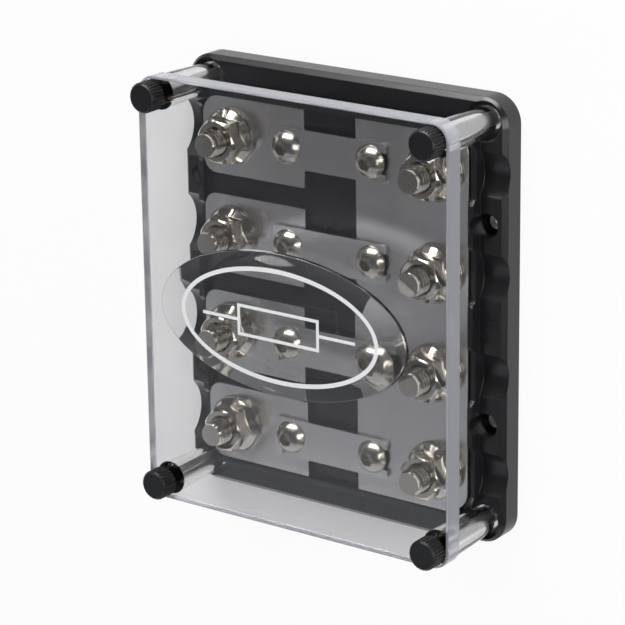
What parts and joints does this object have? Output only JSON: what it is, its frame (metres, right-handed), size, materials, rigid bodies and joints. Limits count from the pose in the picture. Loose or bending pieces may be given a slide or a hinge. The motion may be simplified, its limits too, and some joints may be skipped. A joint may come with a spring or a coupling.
{
  "type": "fused distribution block",
  "caption": "Black moulded power distribution block: threaded studs with flange nuts, strip fuse links between plates, clear cover on corner posts.",
  "frame": {"origin": "middle of the base's back face", "axes": "+Z out of the clear cover; +Y along the rows, up in the picture; +X from the outputs to the common bus"},
  "size_m": [0.116, 0.1384, 0.0406],
  "materials": {
    "black_moulding": "black moulded, semi-gloss",
    "plated_copper": "plated, satin",
    "plated_steel": "plated, bright",
    "clear_moulding": "clear polished plastic",
    "insert_brass": "turned",
    "knob_moulding": "black, knurled",
    "shank_steel": "turned"
  },
  "bodies": {
    "block": {"base": "black_moulding", "output_plate_1": "plated_copper", "output_plate_2": "plated_copper", "output_plate_3": "plated_copper", "output_plate_4": "plated_copper", "input_bus": "plated_copper", "output_stud_1": "plated_steel", "output_stud_2": "plated_steel", "output_stud_3": "plated_steel", "output_stud_4": "plated_steel", "bus_stud_1": "plated_steel", "bus_stud_2": "plated_steel", "bus_stud_3": "plated_steel", "bus_stud_4": "plated_steel", "link_1": "plated_copper", "link_2": "plated_copper", "link_3": "plated_copper", "link_4": "plated_copper", "insert_1": "insert_brass", "insert_2": "insert_brass", "insert_3": "insert_brass", "insert_4": "insert_brass"},
    "cover": {"clear_cover": "clear_moulding"},
    "thumb_shank_1": {"thumb_shank_1": "shank_steel"},
    "thumb_knob_1": {"thumb_knob_1": "knob_moulding"},
    "thumb_shank_2": {"thumb_shank_2": "shank_steel"},
    "thumb_knob_2": {"thumb_knob_2": "knob_moulding"},
    "thumb_shank_3": {"thumb_shank_3": "shank_steel"},
    "thumb_knob_3": {"thumb_knob_3": "knob_moulding"},
    "thumb_shank_4": {"thumb_shank_4": "shank_steel"},
    "thumb_knob_4": {"thumb_knob_4": "knob_moulding"},
    "output_nut_1": {"output_nut_1": "plated_steel"},
    "output_nut_2": {"output_nut_2": "plated_steel"},
    "output_nut_3": {"output_nut_3": "plated_steel"},
    "output_nut_4": {"output_nut_4": "plated_steel"},
    "bus_nut_1": {"bus_nut_1": "plated_steel"},
    "bus_nut_2": {"bus_nut_2": "plated_steel"},
    "bus_nut_3": {"bus_nut_3": "plated_steel"},
    "bus_nut_4": {"bus_nut_4": "plated_steel"},
    "output_screw_1": {"output_screw_1": "plated_steel"},
    "output_screw_2": {"output_screw_2": "plated_steel"},
    "output_screw_3": {"output_screw_3": "plated_steel"},
    "output_screw_4": {"output_screw_4": "plated_steel"},
    "bus_screw_1": {"bus_screw_1": "plated_steel"},
    "bus_screw_2": {"bus_screw_2": "plated_steel"},
    "bus_screw_3": {"bus_screw_3": "plated_steel"},
    "bus_screw_4": {"bus_screw_4": "plated_steel"}
  },
  "joints": [
    {"name": "cover_lift", "type": "slide", "parent": "block", "child": "cover", "axis": [0, 0, 1], "range_m": [0, 0.06]},
    {"name": "thumb_rise_1", "type": "slide", "parent": "cover", "child": "thumb_shank_1", "axis": [0, 0, 1], "range_m": [0, 0.00336]},
    {"name": "thumb_turn_1", "type": "hinge", "parent": "thumb_shank_1", "child": "thumb_knob_1", "pos_m": [-0.0501, 0.06205, 0.0352], "axis": [0, 0, 1], "range_deg": [0, 1728]},
    {"name": "thumb_rise_2", "type": "slide", "parent": "cover", "child": "thumb_shank_2", "axis": [0, 0, 1], "range_m": [0, 0.00336]},
    {"name": "thumb_turn_2", "type": "hinge", "parent": "thumb_shank_2", "child": "thumb_knob_2", "pos_m": [0.0501, 0.06205, 0.0352], "axis": [0, 0, 1], "range_deg": [0, 1728]},
    {"name": "thumb_rise_3", "type": "slide", "parent": "cover", "child": "thumb_shank_3", "axis": [0, 0, 1], "range_m": [0, 0.00336]},
    {"name": "thumb_turn_3", "type": "hinge", "parent": "thumb_shank_3", "child": "thumb_knob_3", "pos_m": [-0.0501, -0.06205, 0.0352], "axis": [0, 0, 1], "range_deg": [0, 1728]},
    {"name": "thumb_rise_4", "type": "slide", "parent": "cover", "child": "thumb_shank_4", "axis": [0, 0, 1], "range_m": [0, 0.00336]},
    {"name": "thumb_turn_4", "type": "hinge", "parent": "thumb_shank_4", "child": "thumb_knob_4", "pos_m": [0.0501, -0.06205, 0.0352], "axis": [0, 0, 1], "range_deg": [0, 1728]},
    {"name": "output_nut_1_turn", "type": "hinge", "parent": "block", "child": "output_nut_1", "pos_m": [-0.0369, 0.0465, 0.0115], "axis": [0, 0, 1], "continuous": true},
    {"name": "output_nut_2_turn", "type": "hinge", "parent": "block", "child": "output_nut_2", "pos_m": [-0.0369, 0.0155, 0.0115], "axis": [0, 0, 1], "continuous": true},
    {"name": "output_nut_3_turn", "type": "hinge", "parent": "block", "child": "output_nut_3", "pos_m": [-0.0369, -0.0155, 0.0115], "axis": [0, 0, 1], "continuous": true},
    {"name": "output_nut_4_turn", "type": "hinge", "parent": "block", "child": "output_nut_4", "pos_m": [-0.0369, -0.0465, 0.0115], "axis": [0, 0, 1], "continuous": true},
    {"name": "bus_nut_1_turn", "type": "hinge", "parent": "block", "child": "bus_nut_1", "pos_m": [0.0369, 0.0465, 0.0115], "axis": [0, 0, 1], "continuous": true},
    {"name": "bus_nut_2_turn", "type": "hinge", "parent": "block", "child": "bus_nut_2", "pos_m": [0.0369, 0.0155, 0.0115], "axis": [0, 0, 1], "continuous": true},
    {"name": "bus_nut_3_turn", "type": "hinge", "parent": "block", "child": "bus_nut_3", "pos_m": [0.0369, -0.0155, 0.0115], "axis": [0, 0, 1], "continuous": true},
    {"name": "bus_nut_4_turn", "type": "hinge", "parent": "block", "child": "bus_nut_4", "pos_m": [0.0369, -0.0465, 0.0115], "axis": [0, 0, 1], "continuous": true},
    {"name": "output_screw_1_turn", "type": "hinge", "parent": "block", "child": "output_screw_1", "pos_m": [-0.01525, 0.0465, 0.0127], "axis": [0, 0, 1], "continuous": true},
    {"name": "output_screw_2_turn", "type": "hinge", "parent": "block", "child": "output_screw_2", "pos_m": [-0.01525, 0.0155, 0.0127], "axis": [0, 0, 1], "continuous": true},
    {"name": "output_screw_3_turn", "type": "hinge", "parent": "block", "child": "output_screw_3", "pos_m": [-0.01525, -0.0155, 0.0127], "axis": [0, 0, 1], "continuous": true},
    {"name": "output_screw_4_turn", "type": "hinge", "parent": "block", "child": "output_screw_4", "pos_m": [-0.01525, -0.0465, 0.0127], "axis": [0, 0, 1], "continuous": true},
    {"name": "bus_screw_1_turn", "type": "hinge", "parent": "block", "child": "bus_screw_1", "pos_m": [0.01525, 0.0465, 0.0127], "axis": [0, 0, 1], "continuous": true},
    {"name": "bus_screw_2_turn", "type": "hinge", "parent": "block", "child": "bus_screw_2", "pos_m": [0.01525, 0.0155, 0.0127], "axis": [0, 0, 1], "continuous": true},
    {"name": "bus_screw_3_turn", "type": "hinge", "parent": "block", "child": "bus_screw_3", "pos_m": [0.01525, -0.0155, 0.0127], "axis": [0, 0, 1], "continuous": true},
    {"name": "bus_screw_4_turn", "type": "hinge", "parent": "block", "child": "bus_screw_4", "pos_m": [0.01525, -0.0465, 0.0127], "axis": [0, 0, 1], "continuous": true}
  ],
  "couplings": [
    {"joint": "thumb_turn_1", "follows": "thumb_rise_1", "rad_per_m": 8976},
    {"joint": "thumb_turn_2", "follows": "thumb_rise_2", "rad_per_m": 8976},
    {"joint": "thumb_turn_3", "follows": "thumb_rise_3", "rad_per_m": 8976},
    {"joint": "thumb_turn_4", "follows": "thumb_rise_4", "rad_per_m": 8976}
  ]
}
